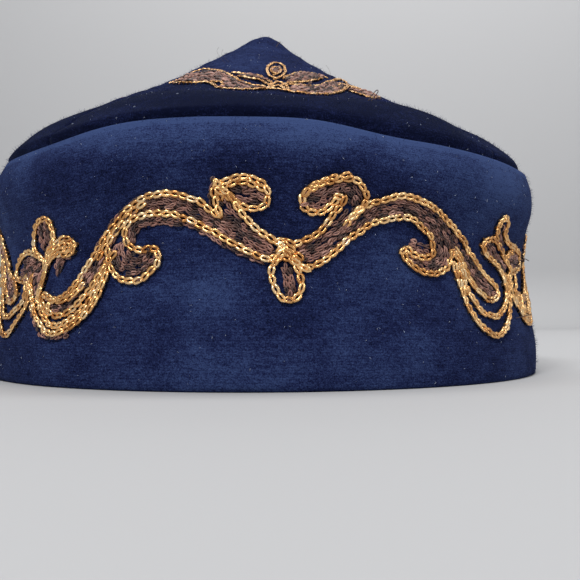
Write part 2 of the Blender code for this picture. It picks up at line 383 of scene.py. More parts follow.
# Rows of brown thread fill the scroll. Each filled stretch is a spine with half its width there,
# and its rows stop short of the gold outlines and of the rows worked before them.
BROWN_SCROLL = {
    "left_arm": (
        (284, 257, 8), (268, 251, 12), (252, 243, 16), (238, 235, 16), (224, 228, 14), (210, 220, 12),
        (197, 212, 12), (184, 206, 12), (172, 204, 12), (160, 203, 12), (148, 206, 12), (138, 211, 12),
        (129, 218, 12), (120, 228, 12), (114, 240, 12), (108, 252, 12), (101, 263, 10), (93, 275, 10),
        (85, 286, 10), (76, 297, 10), (66, 306, 9), (56, 307, 9), (49, 302, 6),
    ),
    "left_stem": (
        (262, 243, 8), (252, 233, 10), (243, 222, 12), (234, 212, 12), (227, 204, 8), (222, 197, 5),
    ),
    "left_spiral": ((230, 189, 5), (239, 193, 10), (247, 194, 12), (256, 196, 12), (263, 198, 6)),
    "left_hook": (
        (117, 244, 8), (118, 255, 12), (125, 264, 14), (136, 267, 16), (147, 263, 12), (154, 257, 7),
    ),
    "right_arm": (
        (290, 255, 8), (302, 254, 12), (314, 250, 14), (326, 243, 14), (337, 235, 14), (348, 227, 13),
        (359, 218, 12), (371, 212, 12), (383, 208, 12), (396, 206, 12), (408, 207, 12), (418, 212, 13),
        (428, 219, 14), (436, 228, 14), (442, 238, 14), (444, 249, 12), (441, 260, 12), (432, 266, 12),
        (421, 264, 11), (411, 258, 9), (405, 253, 6),
    ),
    "right_spiral": (
        (354, 214, 8), (357, 204, 12), (355, 194, 12), (347, 188, 12), (337, 191, 12), (326, 197, 13),
        (315, 200, 12), (307, 201, 8),
    ),
    "right_stem": ((318, 238, 6), (327, 231, 9), (336, 223, 7)),
    "right_lobe": (
        (450, 238, 9), (457, 250, 10), (464, 261, 10), (471, 271, 10), (478, 281, 10), (486, 290, 9),
        (491, 295, 6),
    ),
    "drop": ((285, 262, 3), (287, 272, 5), (289, 282, 6), (290, 290, 5), (290, 297, 3)),
    "left_stray_row": (
        (138, 199, 4), (129, 206, 4), (121, 213, 4), (114, 221, 4), (108, 230, 4), (102, 240, 4),
    ),
    "left_under_row": (
        (262, 263, 3), (247, 256, 3), (232, 249, 3), (217, 241, 3), (204, 233, 3), (192, 226, 3),
        (184, 222, 3),
    ),
    "left_hook_shadow": (
        (182, 222, 5), (168, 219, 5), (156, 219, 5), (146, 221, 5), (138, 224, 5), (133, 230, 5),
        (132, 238, 4),
    ),
    "left_spiral_shadow": ((212, 206, 1), (210, 198, 1), (209, 190, 1), (213, 182, 1)),
    "right_hook_row": ((411, 244, 4), (417, 247, 5), (424, 250, 4)),
}

BROWN_FLOWER_LEFT = {
    "top_lobe": ((46, 251, 6), (46, 241, 12), (45, 232, 12), (44, 225, 6)),
    "left_lobe": ((44, 258, 6), (38, 264, 12), (31, 269, 14), (26, 273, 9)),
    "stalk": ((42, 268, 9), (40, 278, 9), (38, 288, 8)),
    "right_row": ((69, 257, 5), (63, 259, 6), (59, 264, 5), (59, 269, 4)),
    "dip_row": ((31, 308, 1), (34, 318, 1), (38, 329, 1), (46, 338, 1), (57, 339, 1), (67, 335, 1)),
}

BROWN_FLOWER_RIGHT = {
    "top_lobe": ((503, 224, 6), (499, 234, 9), (500, 243, 8)),
    "left_lobe": ((486, 244, 7), (490, 252, 9), (496, 261, 9), (501, 270, 8), (505, 279, 6)),
    "right_lobe": ((506, 264, 6), (509, 261, 12), (512, 260, 12), (515, 260, 10)),
}


def smooth_route(points, spacing, steps=12):
    """Evenly spaced points along a smooth curve through rows of numbers, the first two of them a place."""
    points = np.array(points, float)
    padded = np.vstack([2 * points[0] - points[1], points, 2 * points[-1] - points[-2]])
    fine = []
    for before, start, end, after in zip(padded, padded[1:], padded[2:], padded[3:]):
        for share in np.linspace(0, 1, steps, endpoint=False):
            bend = 2 * before - 5 * start + 4 * end - after
            twist = 3 * start - before - 3 * end + after
            fine.append(start + 0.5 * share * (end - before + share * (bend + share * twist)))
    fine.append(points[-1])
    fine = np.array(fine)
    reach = np.concatenate([[0], np.cumsum(np.hypot(*np.diff(fine[:, :2], axis=0).T))])
    places = np.linspace(0, reach[-1], max(3, round(reach[-1] / spacing) + 1))
    return np.stack([np.interp(places, reach, column) for column in fine.T], axis=1)


def unrolled(pixel):
    """Place on the unrolled band, (length around, height), that a pixel of the picture shows."""
    hit, _, _, _ = band_skin.ray_cast(camera.location, sight_line(pixel))
    return azimuth_of(hit) * BAND_FOOT, hit.z


PIXEL_ON_CLOTH = 0.235 * MM
ROUTE_SPACING = 0.45 * MM
GOLD_WIDTH = 1.75 * MM
BROWN_WIDTH = 1.05 * MM
BROWN_SPACING = 0.94 * MM
FILL_OVERLAP = 0.45 * MM
CLEAR_OF_GOLD = (GOLD_WIDTH + BROWN_WIDTH) / 2 - FILL_OVERLAP
CLEAR_OF_BROWN = BROWN_SPACING * 0.8
FEELING_STEP = BROWN_SPACING / 4
SHORTEST_ROW = 1.6 * MM


def charted_line(pixels):
    return smooth_route([unrolled(pixel) for pixel in pixels], ROUTE_SPACING)


def charted_lines(charts):
    return [charted_line(pixels) for pixels in charts.values()]


def charted_spine(points):
    return [(*unrolled(point[:2]), point[2] * PIXEL_ON_CLOTH) for point in points]


def charted_spines(charts):
    return [charted_spine(points) for points in charts.values()]


def search_tree(places):
    tree = KDTree(len(places))
    for index, place in enumerate(places):
        tree.insert(place, index)
    tree.balance()
    return tree


def flat_tree(rows):
    """Search tree of the points of rows that lie on the unrolled cloth."""
    return search_tree([(along, up, 0) for along, up in np.concatenate(rows)])


def room_beside(place, aside, outlines, most):
    """How far a fill reaches from a place in the direction aside before it meets an outline."""
    for reach in np.arange(0, most, FEELING_STEP):
        spot = place + aside * reach
        if outlines.find((spot[0], spot[1], 0))[2] < CLEAR_OF_GOLD:
            return reach
    return most


def filled_rows(spines, outlines):
    """Rows of fill beside spines of (along, up, half width) points."""
    tree = flat_tree(outlines)
    rows = []
    for spine in spines:
        route = smooth_route(spine, ROUTE_SPACING)
        along = np.gradient(route[:, :2], axis=0)
        along /= np.linalg.norm(along, axis=1, keepdims=True)
        across = np.stack([-along[:, 1], along[:, 0]], axis=1)
        sides = []
        for sign in (-1, 1):
            room = [room_beside(p[:2], sign * a, tree, p[2]) for p, a in zip(route, across)]
            sides.append(np.array(room))
        worked = flat_tree(rows) if rows else None
        most = int(route[:, 2].max() / BROWN_SPACING)
        for place in sorted(range(-most, most + 1), key=abs):
            offset = place * BROWN_SPACING
            row = route[:, :2] + across * offset
            kept = sides[offset > 0] >= abs(offset)
            if worked is not None:
                gaps = np.array([worked.find((p[0], p[1], 0))[2] for p in row])
                kept &= gaps > CLEAR_OF_BROWN
            breaks = np.where(np.diff(kept.astype(int)))[0] + 1
            for stretch in np.split(np.arange(len(row)), breaks):
                if kept[stretch[0]] and len(stretch) * ROUTE_SPACING > SHORTEST_ROW:
                    rows.append(row[stretch])
    return rows


def laid_on_band(routes, repeat):
    """Routes of the unrolled band as one of the repeats shows them, with a hand's small wander."""
    turn = REPEAT_MIDDLES[repeat]
    wander = HAND_WANDER if repeat else 0
    laid_routes = []
    for route in routes:
        laid = []
        for along, height in route:
            azimuth = along / BAND_FOOT * REPEAT_WIDTHS[repeat] + turn
            spot = Vector((azimuth * WANDER_TURNS, height / WANDER_HEIGHT, turn * WANDER_CHANGE))
            drift = noise.noise_vector(spot) * wander
            level = SCROLL_MIDDLE + (height - SCROLL_MIDDLE) * REPEAT_HEIGHTS[repeat]
            laid.append(meridian_hit(band_skin, azimuth + drift.x / BAND_FOOT, (0, level + drift.y), 0))
        laid_routes.append(laid)
    return laid_routes


gold_lines = charted_lines(GOLD_SCROLL)
brown_rows = filled_rows(charted_spines(BROWN_SCROLL), gold_lines)
flower_lines = [charted_lines(flower) for flower in (GOLD_FLOWER_LEFT, GOLD_FLOWER_RIGHT)]
flower_rows = []
for flower, lines in zip((BROWN_FLOWER_LEFT, BROWN_FLOWER_RIGHT), flower_lines):
    flower_rows.append(filled_rows(charted_spines(flower), lines + gold_lines))

gold_routes = []
brown_routes = []
for repeat in range(REPEATS):
    hand = repeat % 2
    gold_routes += laid_on_band(gold_lines, repeat) + laid_on_band(flower_lines[hand], repeat - hand)
    brown_routes += laid_on_band(brown_rows, repeat) + laid_on_band(flower_rows[hand], repeat - hand)


def stitched_places(routes):
    """Search tree of the places where thread pulls the velvet down."""
    return search_tree([place for route in routes for place, _ in route])


band_stitches = stitched_places(gold_routes + brown_routes)

# Velvet
# Cotton velvet in navy blue with a short cut pile. The pile shows the ground's fine ribs across the
# band, lies lighter or darker in patches, partly where hands have brushed it and partly as painted
# light and painted shade, and glows where it is seen edge on.
VELVET_DEEP = (0.0034, 0.0050, 0.0188)
VELVET_MIDDLE = (0.0114, 0.0166, 0.0615)
# The pale stop is reached where brushed pile and painted light lift the velvet's tone.
VELVET_BRUSHED_AND_LIT = (0.038, 0.062, 0.160)
VELVET_GLOW = (0.42, 0.58, 1.0, 1)
GROUND_DEEP = (0.006, 0.009, 0.028)
GROUND_PALE = (0.020, 0.028, 0.075)
RIB_PITCH = 0.68 * MM
PILE_SIZE = 0.32 * MM
TUFT_SIZE = 0.85 * MM
STREAK_SIZE = 5 * MM
CLOUD_SIZE = 17 * MM
RIB_RELIEF = 0.03 * MM
PILE_RELIEF = 0.22 * MM
WEAVE_RELIEF = 0.12 * MM
WAVE_LENGTH = math.pi / 10


class NodeTree:
    """Nodes that are added and linked by name."""

    def __init__(self, tree):
        self.tree = tree

    def feed(self, socket, value):
        if isinstance(value, bpy.types.NodeSocket):
            self.tree.links.new(value, socket)
        else:
            socket.default_value = value

    def fill(self, node, inputs):
        """Feed a node's inputs by name, with _ for each space."""
        for key, value in inputs.items():
            self.feed(node.inputs[key.replace("_", " ")], value)
        return node

    def node(self, kind, settings=None, **inputs):
        made = self.tree.nodes.new(kind)
        for key, value in (settings or {}).items():
            setattr(made, key, value)
        return self.fill(made, inputs)

    def joined(self, kind, settings, first, second):
        """What a node makes of two values."""
        made = self.node(kind, settings)
        self.feed(made.inputs[0], first)
        self.feed(made.inputs[1], second)
        return made.outputs[0]

    def math(self, operation, first, second):
        return self.joined("ShaderNodeMath", {"operation": operation}, first, second)


class Finish(NodeTree):
    """A material and its nodes."""

    def __init__(self, name):
        self.material = bpy.data.materials.new(name)
        self.material.use_nodes = True
        super().__init__(self.material.node_tree)
        self.shader = self.tree.nodes["Principled BSDF"]
        self.place = self.node("ShaderNodeTexCoord").outputs["Object"]
        self.flat_place = self.node("ShaderNodeUVMap", {"uv_map": "UVMap"}).outputs["UV"]

    def kept(self, name):
        """A value that the mesh keeps under this name."""
        return self.node("ShaderNodeAttribute", {"attribute_name": name}).outputs["Fac"]

    def noise(self, place, size, detail=2.0, roughness=0.5):
        inputs = {"Vector": place, "Scale": 1 / size, "Detail": detail, "Roughness": roughness}
        return self.node("ShaderNodeTexNoise", **inputs).outputs["Fac"]

    def wave(self, place, direction, scale, **inputs):
        settings = {"wave_type": "BANDS", "bands_direction": direction}
        return self.node("ShaderNodeTexWave", settings, Vector=place, Scale=scale, **inputs).outputs["Fac"]

    def stretch(self, place, scale):
        return self.node("ShaderNodeMapping", Vector=place, Scale=scale).outputs["Vector"]

    def blend(self, patterns):
        """Sum of patterns, each less its middle value and times its weight."""
        total = 0.0
        for pattern, middle, weight in patterns:
            share = self.math("MULTIPLY", self.math("SUBTRACT", pattern, middle), weight)
            total = self.math("ADD", share, total)
        return total

    def ramp(self, share, stops):
        made = self.node("ShaderNodeValToRGB", Fac=share)
        band = made.color_ramp.elements
        while len(band) < len(stops):
            band.new(0.5)
        for element, (position, colour) in zip(band, stops):
            element.position = position
            element.color = (*colour, 1)
        return made.outputs["Color"]

    def bump(self, height, distance, strength=1.0, **under):
        inputs = {"Height": height, "Distance": distance, "Strength": strength}
        return self.node("ShaderNodeBump", **inputs, **under).outputs["Normal"]

    def shade(self, **inputs):
        """Feed the shader's own inputs, and give the material."""
        self.fill(self.shader, inputs)
        return self.material


def velvet_finish():
    cloth = Finish("navy_velvet")
    pile = cloth.noise(cloth.place, PILE_SIZE, 2.0, 0.75)
    ribs = cloth.wave(
        cloth.flat_place, "Y", WAVE_LENGTH / RIB_PITCH, Distortion=5.0, Detail=3.0, Detail_Scale=1.4
    )
    # The velvet's tone: clouds, streaks, tufts, pile and ribs, plus the stored brushed pile and painted
    # light and shade.
    nap = cloth.blend((
        (cloth.noise(cloth.place, CLOUD_SIZE, 3.0, 0.55), 0, 0.58),
        (cloth.noise(cloth.stretch(cloth.place, (1.0, 1.0, 4.0)), STREAK_SIZE, 3.0, 0.65), 0, 0.46),
        (cloth.noise(cloth.stretch(cloth.place, (1.0, 1.0, 1.6)), TUFT_SIZE, 2.0, 0.7), 0.5, 0.60),
        (pile, 0.5, 1.15),
        (ribs, 0.5, 0.07),
        (cloth.kept("brushed"), 0, 0.34),
    ))
    under = cloth.bump(ribs, RIB_RELIEF, 0.5)
    return cloth.shade(
        Base_Color=cloth.ramp(nap, ((0.26, VELVET_DEEP), (0.54, VELVET_MIDDLE), (0.92, VELVET_BRUSHED_AND_LIT))),
        Roughness=0.92,
        Specular_IOR_Level=0.02,
        Sheen_Weight=0.035,
        Sheen_Roughness=0.42,
        Sheen_Tint=VELVET_GLOW,
        Normal=cloth.bump(pile, PILE_RELIEF, 0.8, Normal=under),
    )


def ground_finish():
    """The velvet's back, a plain cotton weave, seen inside the cap."""
    cloth = Finish("velvet_ground")
    pitch = WAVE_LENGTH / RIB_PITCH
    warp, weft = (cloth.wave(cloth.flat_place, direction, pitch, Distortion=0.6) for direction in "XY")
    weave = cloth.math("MULTIPLY", warp, weft)
    return cloth.shade(
        Base_Color=cloth.ramp(weave, ((0.0, GROUND_DEEP), (1.0, GROUND_PALE))),
        Roughness=0.9,
        Specular_IOR_Level=0.1,
        Normal=cloth.bump(weave, WEAVE_RELIEF, 0.8),
    )


velvet = velvet_finish()
velvet_ground = ground_finish()

# Patches where the velvet is painted lighter, or darker where the strength is below zero: some are
# brushed pile, others are painted light and painted shade that even out how the lamps light the
# band, such as the lighter top right.
BRUSH_AND_LIGHT_MARKS = (
    SoftPatch(-28, 62 * MM, 46 * MM, 5 * MM, 0.70),
    SoftPatch(10, 61 * MM, 26 * MM, 5 * MM, 0.80),
    SoftPatch(46, 54 * MM, 30 * MM, 9 * MM, 1.15),
    SoftPatch(-2, 52 * MM, 22 * MM, 5 * MM, -0.40),
    SoftPatch(-60, 44 * MM, 16 * MM, 16 * MM, 0.40),
    SoftPatch(-14, 24 * MM, 16 * MM, 7 * MM, 0.40),
    SoftPatch(32, 22 * MM, 20 * MM, 8 * MM, 0.20),
    SoftPatch(18, 30 * MM, 10 * MM, 8 * MM, 0.30),
    SoftPatch(-8, 5 * MM, 60 * MM, 7 * MM, 0.46),
    SoftPatch(4, 24 * MM, 30 * MM, 9 * MM, 0.20),
    SoftPatch(120, 52 * MM, 40 * MM, 9 * MM, 0.50),
    SoftPatch(165, 30 * MM, 30 * MM, 12 * MM, 0.35),
    SoftPatch(-110, 20 * MM, 30 * MM, 9 * MM, 0.35),
    SoftPatch(-150, 55 * MM, 40 * MM, 7 * MM, 0.45),
)

# The side band
# One strip of velvet on a stiff cloth, closed by a seam at the back. Its hem is folded under and its
# top edge is folded over and curls in. The stitches draw the velvet down along every line.
BAND_COLUMNS = 640
BAND_HEM_ROWS = 2
BAND_WALL_ROWS = 84
BAND_CREST_ROWS = 17
BAND_INSIDE_ROWS = 16
BAND_OUTSIDE_ROWS = BAND_HEM_ROWS + BAND_WALL_ROWS + BAND_CREST_ROWS // 2
BAND_CLOTH = 2.5 * MM
HEM_FOLD = 1.1 * MM
HEM_TUCK = 0.5 * MM
INSIDE_FOOT = 0.4 * MM
STITCH_SINK = 0.50 * MM
STITCH_REACH = 1.0 * MM
CREST_INSET = 3.9 * MM
CREST_START = 12 * MM
# The crest is painted lighter along a few rows: a painted highlight where the folded edge catches the
# light, together with some rubbed wear.
CREST_WEAR_AND_HIGHLIGHT = 0.90
CREST_HIGHLIGHT_ROWS = 3.5
CREST_HIGHLIGHT_MIDDLE = BAND_OUTSIDE_ROWS - 2
CREST_TURN_ROWS = 6
GROUND_FROM_ROW = BAND_OUTSIDE_ROWS + 4
BACK_SEAM_DEPTH = 0.6 * MM
BACK_SEAM_WIDTH = 0.8 * MM


def sink(tree, point):
    """How far the stitches pull the cloth down at a point."""
    return STITCH_SINK * fade(tree.find(point)[2], STITCH_REACH)


def band_section(azimuth):
    """Places and outward directions up the outside, over the edge, down the inside, under the hem."""
    out = spoke(azimuth)
    section = []
    for share in (0.0, 0.5):
        angle = math.pi / 2 * (1 - share)
        fold = (BAND_FOOT - HEM_FOLD * (1 - math.cos(angle)), HEM_FOLD * (1 - math.sin(angle)))
        section.append((out * fold[0] + Vector((0, 0, fold[1])), out))
    crest = meridian_hit(band_surface, azimuth, (BAND_FOOT - CREST_INSET, 0), math.pi / 2)[0].z
    shoulder = crest - BAND_CLOTH
    for height in np.linspace(HEM_FOLD, shoulder, BAND_WALL_ROWS):
        section.append(meridian_hit(band_surface, azimuth, (0, height), 0))
    pivot = (section[-1][0].xy.length - BAND_CLOTH / 2, shoulder)
    for rise in np.linspace(0, math.pi, BAND_CREST_ROWS)[1:]:
        section.append(meridian_hit(band_surface, azimuth, pivot, rise, CREST_START))
    for height in np.linspace(shoulder - BAND_CLOTH, INSIDE_FOOT, BAND_INSIDE_ROWS):
        section.append(band_surface.ray_cast(Vector((0, 0, height)), out)[:2])
    section.append((out * (section[-1][0].xy.length + HEM_TUCK), -out))
    return section


def tube_mesh(name, points, ring):
    """Quads through closed sections (sections, points, 3), joined in a ring or capped at both ends."""
    index = np.arange(points.shape[0] * points.shape[1]).reshape(points.shape[:2])
    beside = np.roll(index, -1, axis=1)
    corners = [index, np.roll(index, -1, axis=0), np.roll(beside, -1, axis=0), beside]
    faces = np.stack(corners, axis=-1)
    caps = []
    if not ring:
        faces = faces[:-1]
        caps = [index[0].tolist(), index[-1][::-1].tolist()]
    mesh = bpy.data.meshes.new(name)
    mesh.from_pydata(points.reshape(-1, 3), [], faces.reshape(-1, 4).tolist() + caps)
    return mesh


def set_flat_places(mesh, places):
    """UV map from the place of each corner on the flat cloth."""
    layer = mesh.uv_layers.new(name="UVMap")
    layer.data.foreach_set("uv", np.array(places, np.float32).ravel())


def set_brushed_and_painted_light(mesh, marks, worn_and_lit):
    """Store how light the velvet is painted at each vertex: brushed pile and painted light from the patches
    there, plus the given painted highlight and wear.
    """
    values = [wear + patches_at(marks, vertex.co) for vertex, wear in zip(mesh.vertices, worn_and_lit)]
    layer = mesh.attributes.new("brushed", "FLOAT", "POINT")
    layer.data.foreach_set("value", values)


def place_piece(name, mesh):
    mesh.shade_smooth()
    return placed(name, mesh)


def make_band():
    azimuths = np.linspace(math.pi, 3 * math.pi, BAND_COLUMNS, endpoint=False)
    points = []
    for azimuth in azimuths:
        turned = azimuth - azimuths[0]
        from_seam = min(turned, 2 * math.pi - turned) * BAND_FOOT
        groove = BACK_SEAM_DEPTH * fade(from_seam, BACK_SEAM_WIDTH)
        column = []
        for row, (place, out) in enumerate(band_section(azimuth)):
            ease = band_ease(azimuth, place)
            turned_in = min(1, max(0, (row - BAND_OUTSIDE_ROWS + 1) / CREST_TURN_ROWS))
            moved = ease * (1 - 2 * turned_in) if row >= BAND_HEM_ROWS else 0
            if BAND_HEM_ROWS <= row < BAND_OUTSIDE_ROWS:
                moved -= sink(band_stitches, place + out * ease) + groove
            column.append(place + out * moved)
        points.append(column)
    points = np.array(points)
    rows = points.shape[1]
    mesh = tube_mesh("velvet_side_band", points, ring=True)
    lengths = np.linalg.norm(np.diff(points, axis=1, append=points[:, :1]), axis=2).mean(axis=0)
    up = np.concatenate([[0], np.cumsum(lengths)])
    along = np.append(azimuths - azimuths[0], 2 * math.pi) * BAND_FOOT
    corners = []
    for here, there in zip(along, along[1:]):
        for low, high in zip(up, up[1:]):
            corners += [(here, low), (there, low), (there, high), (here, high)]
    set_flat_places(mesh, corners)
    # Each vertex gets the crest's painted highlight and wear, plus the band's brushed and painted light
    # patches.
    from_crest = (np.arange(rows) - CREST_HIGHLIGHT_MIDDLE) / CREST_HIGHLIGHT_ROWS
    set_brushed_and_painted_light(mesh, BRUSH_AND_LIGHT_MARKS, np.tile(CREST_WEAR_AND_HIGHLIGHT * np.exp(-(from_crest ** 2)), BAND_COLUMNS))
    mesh.materials.append(velvet)
    mesh.materials.append(velvet_ground)
    slots = np.tile(np.arange(rows) >= GROUND_FROM_ROW, BAND_COLUMNS)
    mesh.polygons.foreach_set("material_index", slots.astype(np.int32))
    return place_piece("velvet_side_band", mesh)


band = make_band()
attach(band, "root")
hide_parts(BAND_NODE)

# The scroll drawn on the crown
# Each wedge of the crown carries a small flower between two long arms. The arms meet the next
# wedge's arms over the seams. The lines are charted at pixels in the same way.
CROWN_EYE = 55 * MM
AZIMUTH_REACH = 48 * MM
RISE_REACH = 74 * MM
CROWN_FILL_REACH = 7 * MM
LEFT_ARM_STOP = math.radians(303)
CROWN_WANDER = 0.9 * MM
CROWN_WANDER_TURNS = 12
CROWN_WANDER_HEIGHT = 8 * MM
CROWN_WANDER_CHANGE = 5

GOLD_CROWN = {
    "flower_ring": (
        (276, 79), (269, 76), (267, 70), (270, 65), (276, 63), (282, 65), (285, 70), (283, 76), (277, 79),
    ),
    "flower_eye": ((276, 75), (272, 73), (272, 69), (276, 67), (280, 69), (280, 73), (276, 75)),
    "left_leaf_over": ((231, 74), (243, 75), (255, 76), (266, 80), (271, 84)),
    "left_leaf_under": ((237, 77), (248, 79), (258, 81), (269, 86)),
    "right_leaf_over": ((283, 79), (289, 76), (298, 73), (310, 73), (323, 77)),
    "right_leaf_under": ((322, 78), (315, 80), (303, 82), (291, 83), (284, 85)),
    "heart": ((268, 89), (272, 85), (279, 83), (285, 86), (288, 90)),
    "heart_inside": ((271, 89), (276, 86), (280, 86), (284, 89)),
    "left_body_over": (
        (266, 88), (252, 86), (240, 82), (232, 77), (220, 72), (208, 70), (196, 72), (187, 76), (180, 80),
        (173, 83),
    ),
    "left_body_under": (
        (174, 84), (184, 84), (195, 84), (206, 83), (213, 85), (218, 88), (223, 86), (221, 83), (216, 83),
    ),
    "stem": (
        (222, 89), (240, 90), (255, 90), (270, 89), (285, 91), (298, 93), (315, 94), (326, 94), (338, 92),
        (347, 89),
    ),
    "right_body_over": (
        (288, 85), (298, 86), (312, 86), (321, 85), (328, 82), (337, 80), (343, 81), (348, 85), (352, 89),
    ),
    "right_knot": ((337, 86), (342, 84), (347, 87), (342, 89), (337, 88)),
    "right_arm_over": ((350, 87), (361, 91), (371, 95), (377, 98)),
    "right_arm_under": ((350, 91), (361, 95), (370, 98), (377, 98)),
}

BROWN_CROWN = {
    "left_body": ((264, 89), (250, 88), (238, 85), (226, 80), (214, 77), (202, 77), (190, 79), (180, 82)),
    "left_leaf": ((240, 76), (252, 78), (264, 81)),
    "right_body": ((290, 88), (302, 90), (314, 90), (325, 88), (334, 85), (343, 85)),
    "right_leaf": ((288, 80), (299, 78), (310, 76), (319, 77)),
    "right_arm": ((352, 90), (362, 94), (371, 97), (375, 98)),
    "flower": ((276, 73), (276, 70)),
}


def on_crown(azimuth, rise):
    return meridian_hit(crown_surface, azimuth, (0, CROWN_EYE), rise)


def crown_place(pixel):
    """Place on the crown, (azimuth, rise) both as lengths, that a pixel of the picture shows."""
    hit, _, _, _ = crown_surface.ray_cast(camera.location, sight_line(pixel))
    rise = math.atan2(hit.z - CROWN_EYE, hit.xy.length)
    return azimuth_of(hit) * AZIMUTH_REACH, rise * RISE_REACH


def laid_on_crown(routes, repeat):
    """Routes of the first wedge as one of the wedges shows them."""
    turn = repeat * REPEAT_TURN
    wander = CROWN_WANDER if repeat else 0
    laid_routes = []
    for route in routes:
        laid = []
        for along, up in route:
            azimuth = along / AZIMUTH_REACH + turn
            spot = Vector(
                (azimuth * CROWN_WANDER_TURNS, up / CROWN_WANDER_HEIGHT, turn * CROWN_WANDER_CHANGE)
            )
            drift = noise.noise_vector(spot) * wander
            hit, out = on_crown(azimuth + drift.x / AZIMUTH_REACH, (up + drift.y) / RISE_REACH)
            if hit is not None and azimuth < LEFT_ARM_STOP:
                laid.append((hit + out * crown_ease(hit), out))
        laid_routes.append(laid)
    return laid_routes


crown_lines = []
for pixels in GOLD_CROWN.values():
    crown_lines.append(smooth_route([crown_place(pixel) for pixel in pixels], ROUTE_SPACING))
crown_spines = []
for pixels in BROWN_CROWN.values():
    crown_spines.append([(*crown_place(pixel), CROWN_FILL_REACH) for pixel in pixels])
crown_rows = filled_rows(crown_spines, crown_lines)
crown_gold_routes = []
crown_brown_routes = []
for repeat in range(REPEATS):
    crown_gold_routes += laid_on_crown(crown_lines, repeat)
    crown_brown_routes += laid_on_crown(crown_rows, repeat)

crown_stitches = stitched_places(crown_gold_routes + crown_brown_routes)

# The crown
# Four wedges of the same velvet, sewn edge to edge from the band up to the tip. Their seam
# allowances are turned in, so each edge rolls down into its seam and puffs beside it.
CROWN_ROWS = 120
CROWN_COLUMNS = 96
CROWN_EDGE_SHARES = (0, 0.004, 0.010, 0.019, 0.031, 0.048)
CROWN_BACK_COLUMNS = 14
CROWN_BACK_SHARE = 0.97
PANEL_ACROSS = CROWN_COLUMNS + CROWN_BACK_COLUMNS
CROWN_CLOTH = 1.5 * MM
SEAM_HALF_GAP = 0.24 * MM
SEAM_ROLL = 1.1 * MM
SEAM_ROLL_WIDTH = 1.7 * MM
WIDEST_ROLL_SHARE = 0.3
SEAM_FADE_LOW = 61 * MM
SEAM_FADE = 8 * MM
TIP_RADIUS = 0.5 * MM
LEAST_RADIUS = SEAM_HALF_GAP * 1.4
NEAR_TIP = 6 * MM
FOOT_MARGIN = 0.7 * MM
CROWN_TRACE = 160
TRACED_TURN = math.radians(42)
PUCKER_PITCH = 5.3 * MM
PUCKER_DEPTH = 0.16 * MM
PUCKER_REACH = 7 * MM
PUCKER_FADE = 20 * MM
PUCKER_DRIFT = 3
PUCKER_DRIFT_SCALE = 90
ALLOWANCE_DEPTH = 10 * MM
ALLOWANCE_HALF = 0.30 * MM
ALLOWANCE_START = 0.85

# Painted light on the crown: painted shade low all round, just above the band, and lighter patches of
# painted light higher up the cone, which faces the light from above.
CROWN_LIGHT_MARKS = (
    SoftPatch(-20, 100 * MM, 34 * MM, 9 * MM, 0.22),
    SoftPatch(0, 74 * MM, 300 * MM, 17 * MM, -1.0),
    SoftPatch(150, 98 * MM, 40 * MM, 12 * MM, 0.30),
)


def crown_rises(azimuth):
    """Rises of evenly spaced points down the crown at an azimuth, from the tip to its hidden foot."""
    trace = []
    for rise in np.linspace(math.pi / 2 - TIP_RADIUS / (TIP_HEIGHT - CROWN_EYE), 0, CROWN_TRACE):
        hit, _ = on_crown(azimuth, rise)
        if hit is not None:
            trace.append((hit.xy.length, hit.z, rise))
        elif trace:
            break
    trace = np.array(trace)
    reach = np.concatenate([[0], np.cumsum(np.hypot(*np.diff(trace[:, :2], axis=0).T))])
    return np.interp(np.linspace(0, reach[-1] - FOOT_MARGIN, CROWN_ROWS), reach, trace[:, 2])


def crown_shares():
    """Places across a wedge from -1 to 1, close together beside its seams."""
    edge = np.array(CROWN_EDGE_SHARES)
    middle = np.linspace(-1 + edge[-1], 1 - edge[-1], CROWN_COLUMNS - 2 * len(edge) + 2)[1:-1]
    return np.concatenate([-1 + edge, middle, (1 - edge)[::-1]])


def crown_point(azimuth, rise, radius):
    """Place on the crown, or the nearest one to it where the line passes below the crown's foot."""
    place, out = on_crown(azimuth, rise)
    if place is None:
        beside = spoke(azimuth) * radius + Vector((0, 0, CROWN_EYE + radius * math.tan(rise)))
        place, out, _, _ = crown_surface.find_nearest(beside)
    return place, out


def seam_roll(place):
    """How deep the cloth rolls into a seam level with a place: less by the tip, not at all at the foot."""
    above_foot = min(1, max(0, (place.z - SEAM_FADE_LOW) / SEAM_FADE))
    return SEAM_ROLL * min(1, place.xy.length / NEAR_TIP) * above_foot


def pucker(place, share, from_seam, radius):
    """How deep the pull of the seam's stitches dents the cloth beside it."""
    drift = noise.noise(place * PUCKER_DRIFT_SCALE) * PUCKER_DRIFT
    phase = place.z / PUCKER_PITCH * 2 * math.pi + drift + np.sign(share)
    depth = PUCKER_DEPTH * math.exp(-from_seam / PUCKER_REACH) * min(1, radius / PUCKER_FADE)
    return depth * math.sin(phase)


